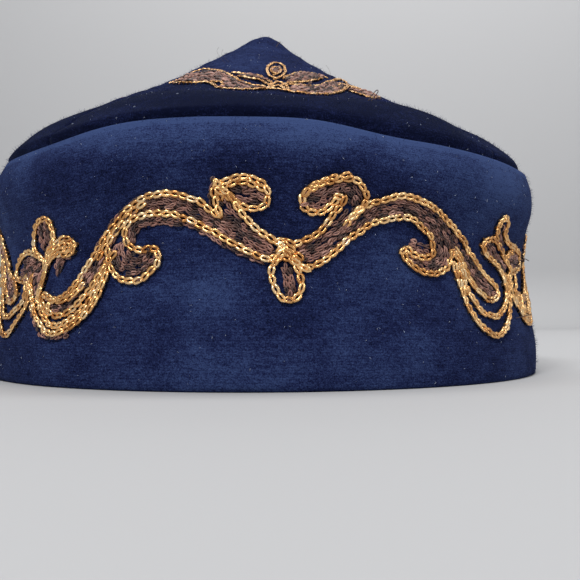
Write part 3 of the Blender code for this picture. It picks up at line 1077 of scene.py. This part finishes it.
def crown_panel_points(middle):
    """Closed sections of a wedge whose middle is at an azimuth, from its tip down."""
    shares = crown_shares()
    back_shares = np.linspace(CROWN_BACK_SHARE, -CROWN_BACK_SHARE, CROWN_BACK_COLUMNS)
    half_turn = REPEAT_TURN / 2
    rises = [crown_rises(middle + np.clip(s * half_turn, -TRACED_TURN, TRACED_TURN)) for s in shares]
    points = []
    for row_rises in np.array(rises).T:
        centre = on_crown(middle, row_rises[len(shares) // 2])[0]
        radius = max(centre.xy.length, LEAST_RADIUS)
        reach = half_turn - math.asin(SEAM_HALF_GAP / radius)
        roll_width = min(SEAM_ROLL_WIDTH, WIDEST_ROLL_SHARE * radius)
        roll = seam_roll(centre)
        section = []
        for share, rise in zip(shares, row_rises):
            place, out = crown_point(middle + share * reach, rise, radius)
            from_seam = radius * (1 - abs(share)) * reach
            depth = 0.0
            if from_seam < roll_width:
                depth = roll * (1 - math.sqrt(1 - (1 - from_seam / roll_width) ** 2))
            ease = crown_ease(place)
            depth += pucker(place, share, from_seam, radius) + sink(crown_stitches, place + out * ease)
            section.append(place - out * (depth - ease))
        for share in back_shares:
            rise = np.interp(share, shares, row_rises)
            place, out = crown_point(middle + share * reach, rise, radius)
            section.append(place - out * CROWN_CLOTH)
        points.append(section)
    return np.array(points)


def seam_allowance_points(seam):
    """Closed sections of the two cloth edges that stand inwards along a seam, from the tip down."""
    traced = seam - REPEAT_TURN / 2 + TRACED_TURN
    turn = Matrix.Rotation(REPEAT_TURN / 2 - TRACED_TURN, 3, "Z")
    aside = spoke(seam + math.pi / 2) * ALLOWANCE_HALF
    stations = []
    for rise in crown_rises(traced):
        place, out = on_crown(traced, rise)
        stations.append((turn @ place, turn @ out))
    tip = Vector((0, 0, stations[0][0].z))
    points = []
    for place, out in [(tip, Vector((0, 0, 1))), *stations]:
        near = place + out * (crown_ease(place) - seam_roll(place) * ALLOWANCE_START)
        far = near - out * ALLOWANCE_DEPTH
        points.append((near + aside, near - aside, far - aside, far + aside))
    return np.array(points)


def turn_faces_outwards(mesh):
    shape = bmesh.new()
    shape.from_mesh(mesh)
    bmesh.ops.recalc_face_normals(shape, faces=shape.faces)
    shape.to_mesh(mesh)
    shape.free()


def crown_mesh(name, points, flat_place, finishes):
    """Mesh of sections down the crown, with each vertex's place on the flat cloth."""
    mesh = tube_mesh(name, points, ring=False)
    turn_faces_outwards(mesh)
    flat = [flat_place(vertex) for vertex in mesh.vertices]
    set_flat_places(mesh, [flat[loop.vertex_index] for loop in mesh.loops])
    for finish in finishes:
        mesh.materials.append(finish)
    return mesh


def flat_on_panel(vertex, middle):
    radius = vertex.co.xy.length
    turn = azimuth_of(Matrix.Rotation(-middle, 3, "Z") @ vertex.co)
    return turn * radius, math.hypot(radius, TIP_HEIGHT - vertex.co.z)


def flat_on_allowance(vertex):
    return vertex.co.xy.length, vertex.index % 4 * ALLOWANCE_DEPTH


wedges = list(zip(PANELS, np.arange(REPEATS) * REPEAT_TURN))
panels = []
for side, middle in wedges:
    name = "velvet_crown_" + side
    mesh = crown_mesh(
        name,
        crown_panel_points(middle),
        lambda vertex: flat_on_panel(vertex, middle),
        (velvet, velvet_ground),
    )
    # The crown's painted shade and painted light; no crest highlight here.
    set_brushed_and_painted_light(mesh, CROWN_LIGHT_MARKS, np.zeros(len(mesh.vertices)))
    for face in mesh.polygons:
        face.material_index = int(face.index % PANEL_ACROSS >= CROWN_COLUMNS and face.loop_total == 4)
    panel = place_piece(name, mesh)
    panels.append(panel)
    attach(panel, "root")
    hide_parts("crown_panel_" + side)

for side, middle in wedges:
    name = "seam_allowance_" + side
    points = seam_allowance_points(middle + REPEAT_TURN / 2)
    allowance = place_piece(name, crown_mesh(name, points, flat_on_allowance, (velvet_ground,)))
    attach(allowance, "root")

# Chain stitch
# Every line is one row of chain stitches, made with a hook through the velvet. Each stitch is a
# loop of thread whose foot comes up inside the loop before it, so a row looks like a plait.
STITCH_SEED = 11
SHORTEST_ROUTE = 3
PLY_SCALE = 0.9
THREAD_WEAR_SIZE = 4 * MM


class Recipe(NodeTree):
    """A Geometry Nodes tree with named inputs."""

    def __init__(self, name, inputs):
        super().__init__(bpy.data.node_groups.new(name, "GeometryNodeTree"))
        face = self.tree.interface
        face.new_socket("Geometry", in_out="INPUT", socket_type="NodeSocketGeometry")
        for label, kind, value in inputs:
            socket = face.new_socket(label, in_out="INPUT", socket_type="NodeSocket" + kind)
            if value is not None:
                socket.default_value = value
        face.new_socket("Geometry", in_out="OUTPUT", socket_type="NodeSocketGeometry")
        self.given = self.tree.nodes.new("NodeGroupInput").outputs
        self.result = self.tree.nodes.new("NodeGroupOutput")

    def random(self, low, high, kind="FLOAT"):
        made = self.node("FunctionNodeRandomValue", {"data_type": kind}, Seed=self.given["Seed"])
        value, first, last = (0, 0, 1) if kind == "FLOAT_VECTOR" else (1, 2, 3)
        self.feed(made.inputs[first], low)
        self.feed(made.inputs[last], high)
        return made.outputs[value]

    def near_zero(self, most):
        return self.random(self.math("MULTIPLY", most, -1), most, "FLOAT_VECTOR")

    def near_one(self, spread, kind="FLOAT"):
        return self.random(self.math("SUBTRACT", 1, spread), self.math("ADD", 1, spread), kind)

    def turned(self, rotation, turn):
        settings = {"rotation_space": "LOCAL"}
        return self.joined("FunctionNodeRotateRotation", settings, rotation, turn)

    def copies(self, label, points, rotation, size):
        """Instances of the object given under a label."""
        shape = self.node("GeometryNodeObjectInfo", Object=self.given[label]).outputs["Geometry"]
        inputs = {"Points": points, "Instance": shape, "Rotation": rotation, "Scale": size}
        return self.node("GeometryNodeInstanceOnPoints", **inputs).outputs["Instances"]

    def finish(self, geometry, material):
        whole = self.node("GeometryNodeRealizeInstances", Geometry=geometry).outputs["Geometry"]
        painted = self.node("GeometryNodeSetMaterial", Geometry=whole, Material=material)
        self.feed(self.result.inputs["Geometry"], painted.outputs["Geometry"])

    def grow(self, name, mesh, values):
        """Plain mesh that the tree makes on a mesh with these input values."""
        carrier = placed(name + "_carrier", mesh)
        modifier = carrier.modifiers.new(name, "NODES")
        modifier.node_group = self.tree
        for item in self.tree.interface.items_tree:
            if item.name in values:
                modifier[item.identifier] = values[item.name]
        evaluated = carrier.evaluated_get(bpy.context.evaluated_depsgraph_get())
        grown = bpy.data.meshes.new_from_object(evaluated)
        bpy.data.objects.remove(carrier)
        bpy.data.meshes.remove(mesh)
        grown.name = name
        return grown


def chain_stitch_recipe():
    """Stitches along the edges of a mesh, each turned towards the foot of the next one."""
    recipe = Recipe(
        "chain_stitch",
        (
            ("Loop", "Object", None),
            ("Stitch length", "Float", 1.8 * MM),
            ("Unevenness", "Float", 0.1 * MM),
            ("Tilt", "Float", 0.12),
            ("Size spread", "Float", 0.1),
            ("Thread", "Material", None),
            ("Seed", "Int", 1),
        ),
    )
    given = recipe.given
    curve = recipe.node("GeometryNodeMeshToCurve", Mesh=given["Geometry"]).outputs["Curve"]
    spaced = recipe.node(
        "GeometryNodeResampleCurve", {"mode": "LENGTH"}, Curve=curve, Length=given["Stitch length"]
    ).outputs["Curve"]
    here = recipe.node("GeometryNodeInputPosition").outputs["Position"]
    index = recipe.node("GeometryNodeInputIndex").outputs["Index"]
    following = recipe.node(
        "GeometryNodeFieldAtIndex",
        {"data_type": "FLOAT_VECTOR", "domain": "POINT"},
        Index=recipe.math("ADD", index, 1),
        Value=here,
    ).outputs["Value"]
    reach = recipe.joined("ShaderNodeVectorMath", {"operation": "SUBTRACT"}, following, here)
    tangent = recipe.node("GeometryNodeInputTangent").outputs["Tangent"]
    row_end = recipe.node("GeometryNodeCurveEndpointSelection", Start_Size=0, End_Size=1)
    heading = recipe.node(
        "GeometryNodeSwitch",
        {"input_type": "VECTOR"},
        **{"Switch": row_end.outputs["Selection"], "False": reach, "True": tangent},
    ).outputs["Output"]
    vector = {"data_type": "FLOAT_VECTOR"}
    outward = recipe.node("GeometryNodeInputNamedAttribute", vector, Name="outward").outputs["Attribute"]
    axes = {"primary_axis": "X", "secondary_axis": "Z"}
    facing = recipe.joined("FunctionNodeAxesToRotation", axes, heading, outward)
    tilted = recipe.turned(facing, recipe.near_zero(given["Tilt"]))
    size = recipe.near_one(given["Size spread"], "FLOAT_VECTOR")
    shift = recipe.near_zero(given["Unevenness"])
    feet = recipe.node("GeometryNodeSetPosition", Geometry=spaced, Offset=shift).outputs["Geometry"]
    # A random tone for each stitch, which the thread's ramp spreads between painted shade and painted
    # glint.
    tinted = recipe.node(
        "GeometryNodeStoreNamedAttribute",
        {"data_type": "FLOAT", "domain": "INSTANCE"},
        Geometry=recipe.copies("Loop", feet, tilted, size),
        Name="shade",
        Value=recipe.random(0.0, 1.0),
    ).outputs["Geometry"]
    recipe.finish(tinted, given["Thread"])
    return recipe


chain_stitch = chain_stitch_recipe()


def add_tube(shape, path, thickness, sides):
    """Closed tube along a path, with its length and its way round as UVs."""
    rings = []
    for index, place in enumerate(path):
        ahead = path[min(index + 1, len(path) - 1)] - path[max(index - 1, 0)]
        ahead.normalize()
        sidewards = ahead.cross(Vector((0, 0, 1))).normalized()
        upwards = sidewards.cross(ahead)
        ring = []
        for step in range(sides):
            angle = 2 * math.pi * step / sides
            around = sidewards * math.cos(angle) + upwards * math.sin(angle)
            ring.append(shape.verts.new(place + around * thickness / 2))
        rings.append(ring)
    flat = shape.loops.layers.uv.verify()
    for index, (near, far) in enumerate(zip(rings, rings[1:])):
        for step in range(sides):
            after = (step + 1) % sides
            face = shape.faces.new((near[step], near[after], far[after], far[step]))
            places = ((index, step), (index, step + 1), (index + 1, step + 1), (index + 1, step))
            for corner, (along, around) in zip(face.loops, places):
                corner[flat].uv = (along / len(rings), around / sides)
    shape.faces.new(rings[0][::-1])
    shape.faces.new(rings[-1])


def thread_mesh(name, paths, thickness, sides):
    """Smooth mesh of closed tubes along paths."""
    shape = bmesh.new()
    for path in paths:
        add_tube(shape, path, thickness, sides)
    bmesh.ops.recalc_face_normals(shape, faces=shape.faces)
    mesh = mesh_of(name, shape)
    mesh.shade_smooth()
    return mesh


# One strand of a stitch as shares of its length, its width and its thickness. The strand comes up
# through the cloth, parts from the middle line and meets the other strand at the stitch's head.
STRAND = (
    (-0.10, 0.10, -0.85), (0.14, 0.20, 0.48), (0.52, 0.43, 0.82), (0.94, 0.38, 0.61), (1.22, 0.0, 0.34),
)


def loop_of_thread(name, length, width, thickness, sides):
    """One stitch along +X from its foot at the origin, as an object to be copied."""
    half = [Vector((x * length, y * (width - thickness / 2), z * thickness)) for x, y, z in STRAND]
    path = half + [Vector((p.x, -p.y, p.z)) for p in half[-2::-1]]
    return placed(name, thread_mesh(name, [path], thickness, sides))


def route_mesh(name, routes, lift):
    """Mesh of edges along routes, lifted off the cloth, with the cloth's outward direction kept."""
    places, edges, outward = [], [], []
    for route in routes:
        first = len(places)
        for place, out in route:
            places.append(place + out * lift)
            outward.append(out)
        edges += [(index, index + 1) for index in range(first, len(places) - 1)]
    mesh = bpy.data.meshes.new(name)
    mesh.from_pydata(places, edges, [])
    layer = mesh.attributes.new("outward", "FLOAT_VECTOR", "POINT")
    layer.data.foreach_set("vector", np.array(outward, np.float32).ravel())
    return mesh


def thread_finish(name, stops, metallic, roughness, twist, relief, sheen=0.0):
    """Two-ply thread: each stitch has its own random tone, standing in for glints that differ from link to
    link, and the plies show as slanting ridges, in relief and as painted light and dark stripes.
    """
    thread = Finish(name)
    plies = thread.wave(thread.stretch(thread.flat_place, (twist, 1.0, 1.0)), "DIAGONAL", PLY_SCALE)
    wear = thread.noise(thread.place, THREAD_WEAR_SIZE, 2.0, 0.6)
    share = thread.blend(((thread.kept("shade"), 0, 0.4), (plies, 0, 0.35), (wear, 0, 0.35)))
    return thread.shade(
        Base_Color=thread.ramp(share, stops),
        Metallic=metallic,
        Roughness=roughness,
        Sheen_Weight=sheen,
        Normal=thread.bump(plies, relief),
    )


def quarter_of(route):
    """Which quarter of the cap the middle of a route lies in, counted from the front."""
    middle = route[len(route) // 2][0]
    return round(azimuth_of(middle) / REPEAT_TURN) % REPEATS


def stitch_rows(name, routes, values, lift):
    """One piece for each quarter's rows of chain stitch."""
    routes = [route for route in routes if len(route) >= SHORTEST_ROUTE]
    for quarter, side in enumerate(PANELS):
        mesh = route_mesh(name, [route for route in routes if quarter_of(route) == quarter], lift)
        stitches = chain_stitch.grow(name, mesh, values | {"Seed": STITCH_SEED + quarter})
        piece = place_piece(name + "_" + side, stitches)
        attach(piece, "root")


# Gold thread
# The outlines are worked in metal thread, gold foil wound on a yellow core, in bold open stitches.
# Those of the crown are finer, and duller where hands have worn them.
GOLD_STITCH = 2.2 * MM
GOLD_THREAD = 0.81 * MM
GOLD_SIDES = 6
FINE_STITCH = 1.5 * MM
FINE_WIDTH = 0.9 * MM
FINE_THREAD = 0.38 * MM
THREAD_LIFT = 0.05 * MM
# Each ramp runs from a dark stop of painted shade through the gold's own colour to a pale stop of painted
# glint.
GOLD_STOPS = ((0.16, (0.56, 0.25, 0.075)), (0.46, (1.0, 0.61, 0.255)), (0.80, (1.0, 0.89, 0.62)))
WORN_STOPS = ((0.16, (0.36, 0.16, 0.05)), (0.46, (0.72, 0.43, 0.19)), (0.80, (0.90, 0.74, 0.50)))
FOIL = {"metallic": 0.88, "twist": 5.0, "relief": 0.025 * MM}

gold_thread = thread_finish("gold_thread", GOLD_STOPS, roughness=0.30, **FOIL)
gold_loop = loop_of_thread("gold_loop", GOLD_STITCH, GOLD_WIDTH, GOLD_THREAD, GOLD_SIDES)
gold_values = {"Loop": gold_loop, "Stitch length": GOLD_STITCH, "Thread": gold_thread}
stitch_rows("gold_scroll", gold_routes, gold_values, THREAD_LIFT)
worn_gold_thread = thread_finish("worn_gold_thread", WORN_STOPS, roughness=0.36, **FOIL)
fine_loop = loop_of_thread("fine_loop", FINE_STITCH, FINE_WIDTH, FINE_THREAD, GOLD_SIDES)
fine_values = {"Loop": fine_loop, "Stitch length": FINE_STITCH, "Thread": worn_gold_thread}
stitch_rows("gold_crown_scroll", crown_gold_routes, fine_values, THREAD_LIFT)
for loop in (gold_loop, fine_loop):
    bpy.data.objects.remove(loop)

# Brown thread
# The bodies of the scroll are filled with close rows of finer stitches in a soft brown cotton,
# worked along each arm and lobe and stopped just short of the gold.
BROWN_STITCH = 1.5 * MM
BROWN_THREAD = 0.46 * MM
BROWN_SIDES = 4
# The ramp runs from a near-black stop, painted shade of the gaps between stitches, through the brown to a
# pale stop of painted highlight.
BROWN_STOPS = (
    (0.26, (0.040, 0.017, 0.014)), (0.50, (0.330, 0.155, 0.115)), (0.77, (0.88, 0.56, 0.45)),
)

brown_thread = thread_finish(
    "brown_thread", BROWN_STOPS, metallic=0.0, roughness=0.5, twist=4.0, relief=0.05 * MM, sheen=0.10
)
brown_loop = loop_of_thread("brown_loop", BROWN_STITCH, BROWN_WIDTH, BROWN_THREAD, BROWN_SIDES)
brown_values = {
    "Loop": brown_loop,
    "Stitch length": BROWN_STITCH,
    "Unevenness": 0.24 * MM,
    "Tilt": 0.30,
    "Size spread": 0.24,
    "Thread": brown_thread,
}
stitch_rows("brown_scroll", brown_routes, brown_values, 0)
stitch_rows("brown_crown_scroll", crown_brown_routes, brown_values, 0)
bpy.data.objects.remove(brown_loop)

# Stray threads
# A few ends of thread stand off the rows and single hairs stand off the velvet. Each is charted at
# pixels from its root, and lies in the upright plane through its root that faces the eye.
END_THICKNESS = 0.24 * MM
HAIR_THICKNESS = 0.07 * MM
STRAY_SIDES = 5
STRAY_STEP = 0.8

THREAD_ENDS = (
    ((368, 101), (373, 94), (377, 90), (378, 92), (375, 96), (371, 101)),
    ((276, 47), (279, 43), (281, 42)),
    ((516, 263), (524, 259), (529, 261)),
    ((516, 318), (525, 316), (531, 314)),
)
HAIRS = (
    ((226, 64), (220, 57), (217, 51), (219, 47)),
    ((229, 62), (222, 55), (223, 49)),
    ((331, 82), (330, 72), (326, 65)),
)


def standing_path(pixels):
    """Path of a thread whose root lies on the cloth at its first pixel."""
    eye = camera.location
    root_line = sight_line(pixels[0])
    hits = [surface.ray_cast(eye, root_line)[0] for surface in (band_surface, crown_surface)]
    root = min((hit for hit in hits if hit is not None), key=lambda hit: (hit - eye).length)
    ahead = spoke(azimuth_of(eye))
    depth = (root - eye).dot(ahead)
    lines = [sight_line(pixel) for pixel in smooth_route(pixels, STRAY_STEP)]
    return [eye + line * depth / line.dot(ahead) for line in lines]


for name, slot, charted, thickness in (
    ("thread_ends", "brown_thread", THREAD_ENDS, END_THICKNESS),
    ("hairs", "velvet", HAIRS, HAIR_THICKNESS),
):
    mesh = thread_mesh(name, [standing_path(pixels) for pixels in charted], thickness, STRAY_SIDES)
    mesh.materials.append(brown_thread)
    strays = place_piece(name, mesh)
    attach(strays, "root")

# Pile fibres and lint
# Loose fibres of the cotton pile stand off the velvet and blur its outline. Pale lint from other
# cloth clings to it.
FIBRE_LENGTH = 1.0 * MM
FIBRE_WIDTH = 0.085 * MM
FIBRE_SIDE = FIBRE_WIDTH * 0.43
FIBRES_PER_SQUARE_METRE = 300000
FIBRE_LEAN = 0.75
LINT_LENGTH = 0.8 * MM
LINT_WIDTH = 0.07 * MM
LINT_PER_SQUARE_METRE = 17000
LINT_LEAN = 0.05
FIBRE_SEED = 31
FIBRE_SHADE_SIZE = 3 * MM
PALE_GAIN = 1.6


def fibre_recipe():
    """Copies of a fibre all over the outside of the velvet, clear of the floor."""
    recipe = Recipe(
        "loose_fibres",
        (
            ("Fibre", "Object", None),
            ("Cloth", "Material", None),
            ("Density", "Float", 1.0),
            ("Lean", "Float", 0.7),
            ("Size spread", "Float", 0.4),
            ("Lowest root", "Float", 1.4 * MM),
            ("Finish", "Material", None),
            ("Seed", "Int", 1),
        ),
    )
    given = recipe.given
    outside = recipe.node("GeometryNodeMaterialSelection", Material=given["Cloth"]).outputs["Selection"]
    root = recipe.node("GeometryNodeInputPosition").outputs["Position"]
    height = recipe.node("ShaderNodeSeparateXYZ", Vector=root).outputs["Z"]
    clear = recipe.math("GREATER_THAN", height, given["Lowest root"])
    spread = recipe.node(
        "GeometryNodeDistributePointsOnFaces",
        Mesh=given["Geometry"],
        Selection=recipe.joined("FunctionNodeBooleanMath", {"operation": "AND"}, outside, clear),
        Density=given["Density"],
        Seed=given["Seed"],
    )
    turn = recipe.random((-1.0, -1.0, -math.pi), (1.0, 1.0, math.pi), "FLOAT_VECTOR")
    lean = recipe.node("ShaderNodeVectorMath", {"operation": "SCALE"}, Vector=turn, Scale=given["Lean"])
    spin = recipe.random((0.0, 0.0, -math.pi), (0.0, 0.0, math.pi), "FLOAT_VECTOR")
    leaning = recipe.turned(recipe.turned(spread.outputs["Rotation"], spin), lean.outputs["Vector"])
    size = recipe.near_one(given["Size spread"])
    recipe.finish(recipe.copies("Fibre", spread.outputs["Points"], leaning, size), given["Finish"])
    return recipe


def closed_shape(name, points, faces):
    mesh = bpy.data.meshes.new(name)
    mesh.from_pydata(points, [], faces)
    turn_faces_outwards(mesh)
    return placed(name, mesh)


def fibre_finish(name, colour):
    fibre = Finish(name)
    shade = fibre.noise(fibre.place, FIBRE_SHADE_SIZE)
    pale = tuple(min(1, part * PALE_GAIN) for part in colour)
    return fibre.shade(
        Base_Color=fibre.ramp(shade, ((0.3, colour), (0.7, pale))),
        Roughness=0.8,
        Specular_IOR_Level=0.05,
    )


loose_fibres = fibre_recipe()
pile_fibre = closed_shape(
    "pile_fibre",
    [
        (FIBRE_WIDTH / 2, 0, -FIBRE_WIDTH),
        (-FIBRE_WIDTH / 4, FIBRE_SIDE, -FIBRE_WIDTH),
        (-FIBRE_WIDTH / 4, -FIBRE_SIDE, -FIBRE_WIDTH),
        (0, 0, FIBRE_LENGTH),
    ],
    [(0, 1, 2), (0, 1, 3), (1, 2, 3), (2, 0, 3)],
)
lint_fibre = closed_shape(
    "lint_fibre",
    [
        (-LINT_LENGTH / 2, 0, -LINT_WIDTH),
        (0, LINT_WIDTH / 2, LINT_WIDTH),
        (0, -LINT_WIDTH / 2, LINT_WIDTH),
        (0, 0, LINT_WIDTH * 2),
        (LINT_LENGTH / 2, LINT_LENGTH / 5, -LINT_WIDTH),
    ],
    [(0, 1, 3), (0, 3, 2), (0, 2, 1), (4, 3, 1), (4, 2, 3), (4, 1, 2)],
)
velvet_fibre = fibre_finish("velvet_fibre", (0.014, 0.020, 0.080))
pale_lint = fibre_finish("pale_lint", (0.40, 0.45, 0.55))
for seed, cloth_piece in enumerate([band, *panels], FIBRE_SEED):
    for name, fibre, density, lean, finish in (
        ("pile", pile_fibre, FIBRES_PER_SQUARE_METRE, FIBRE_LEAN, velvet_fibre),
        ("lint", lint_fibre, LINT_PER_SQUARE_METRE, LINT_LEAN, pale_lint),
    ):
        part = name + "_" + cloth_piece.name.removeprefix("velvet_")
        values = {"Fibre": fibre, "Cloth": velvet, "Density": density, "Lean": lean}
        values |= {"Finish": finish, "Seed": seed}
        fuzz = place_piece(part, loose_fibres.grow(part, cloth_piece.data.copy(), values))
        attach(fuzz, "root")
for fibre in (pile_fibre, lint_fibre):
    bpy.data.objects.remove(fibre)

# The stage
# A pale table that sweeps up into its backdrop, a soft window light high on the left, a weaker
# fill from the right and a light on the backdrop.
STAGE_HALF_WIDTH = 3.0
STAGE_FRONT = -1.2
STAGE_BACK = 1.6
STAGE_HEIGHT = 2.4
SWEEP_RADIUS = 0.16
SWEEP_STEPS = 12
TABLE_COLOUR = (0.46, 0.46, 0.465, 1)
ROOM_COLOUR = (0.72, 0.74, 0.78, 1)
ROOM_STRENGTH = 0.43

stage_line = [(STAGE_FRONT, 0.0), (STAGE_BACK - SWEEP_RADIUS, 0.0)]
for angle in np.linspace(0, math.pi / 2, SWEEP_STEPS + 1)[1:]:
    back = STAGE_BACK - SWEEP_RADIUS + SWEEP_RADIUS * math.sin(angle)
    stage_line.append((back, SWEEP_RADIUS * (1 - math.cos(angle))))
stage_line.append((STAGE_BACK, STAGE_HEIGHT))
stage_points = [(side * STAGE_HALF_WIDTH, y, z) for y, z in stage_line for side in (-1, 1)]
stage_faces = [(2 * i, 2 * i + 1, 2 * i + 3, 2 * i + 2) for i in range(len(stage_line) - 1)]
stage_mesh = bpy.data.meshes.new("table")
stage_mesh.from_pydata(stage_points, [], stage_faces)
stage_mesh.materials.append(Finish("pale_paper").shade(Base_Color=TABLE_COLOUR, Roughness=0.8))
table = place_piece("table", stage_mesh)


def soft_light(name, place, aim, size, power):
    data = bpy.data.lights.new(name, "AREA")
    data.shape = "RECTANGLE"
    data.size, data.size_y = size
    data.energy = power
    light = placed(name, data)
    light.location = place
    light.rotation_euler = (Vector(aim) - Vector(place)).to_track_quat("-Z", "Y").to_euler()


soft_light("window", place=(-0.5, -1.0, 1.1), aim=(0, 0, 0.05), size=(0.45, 0.35), power=15)
soft_light("fill", place=(1.2, -0.9, 0.6), aim=(0, 0, 0.06), size=(0.25, 0.25), power=4)
soft_light("wall", place=(0.5, 0.3, 2.2), aim=(0.6, 1.6, 0.9), size=(2.5, 1.0), power=46)
world = bpy.data.worlds.new("room")
world.use_nodes = True
world.node_tree.nodes["Background"].inputs["Color"].default_value = ROOM_COLOUR
world.node_tree.nodes["Background"].inputs["Strength"].default_value = ROOM_STRENGTH
bpy.context.scene.world = world
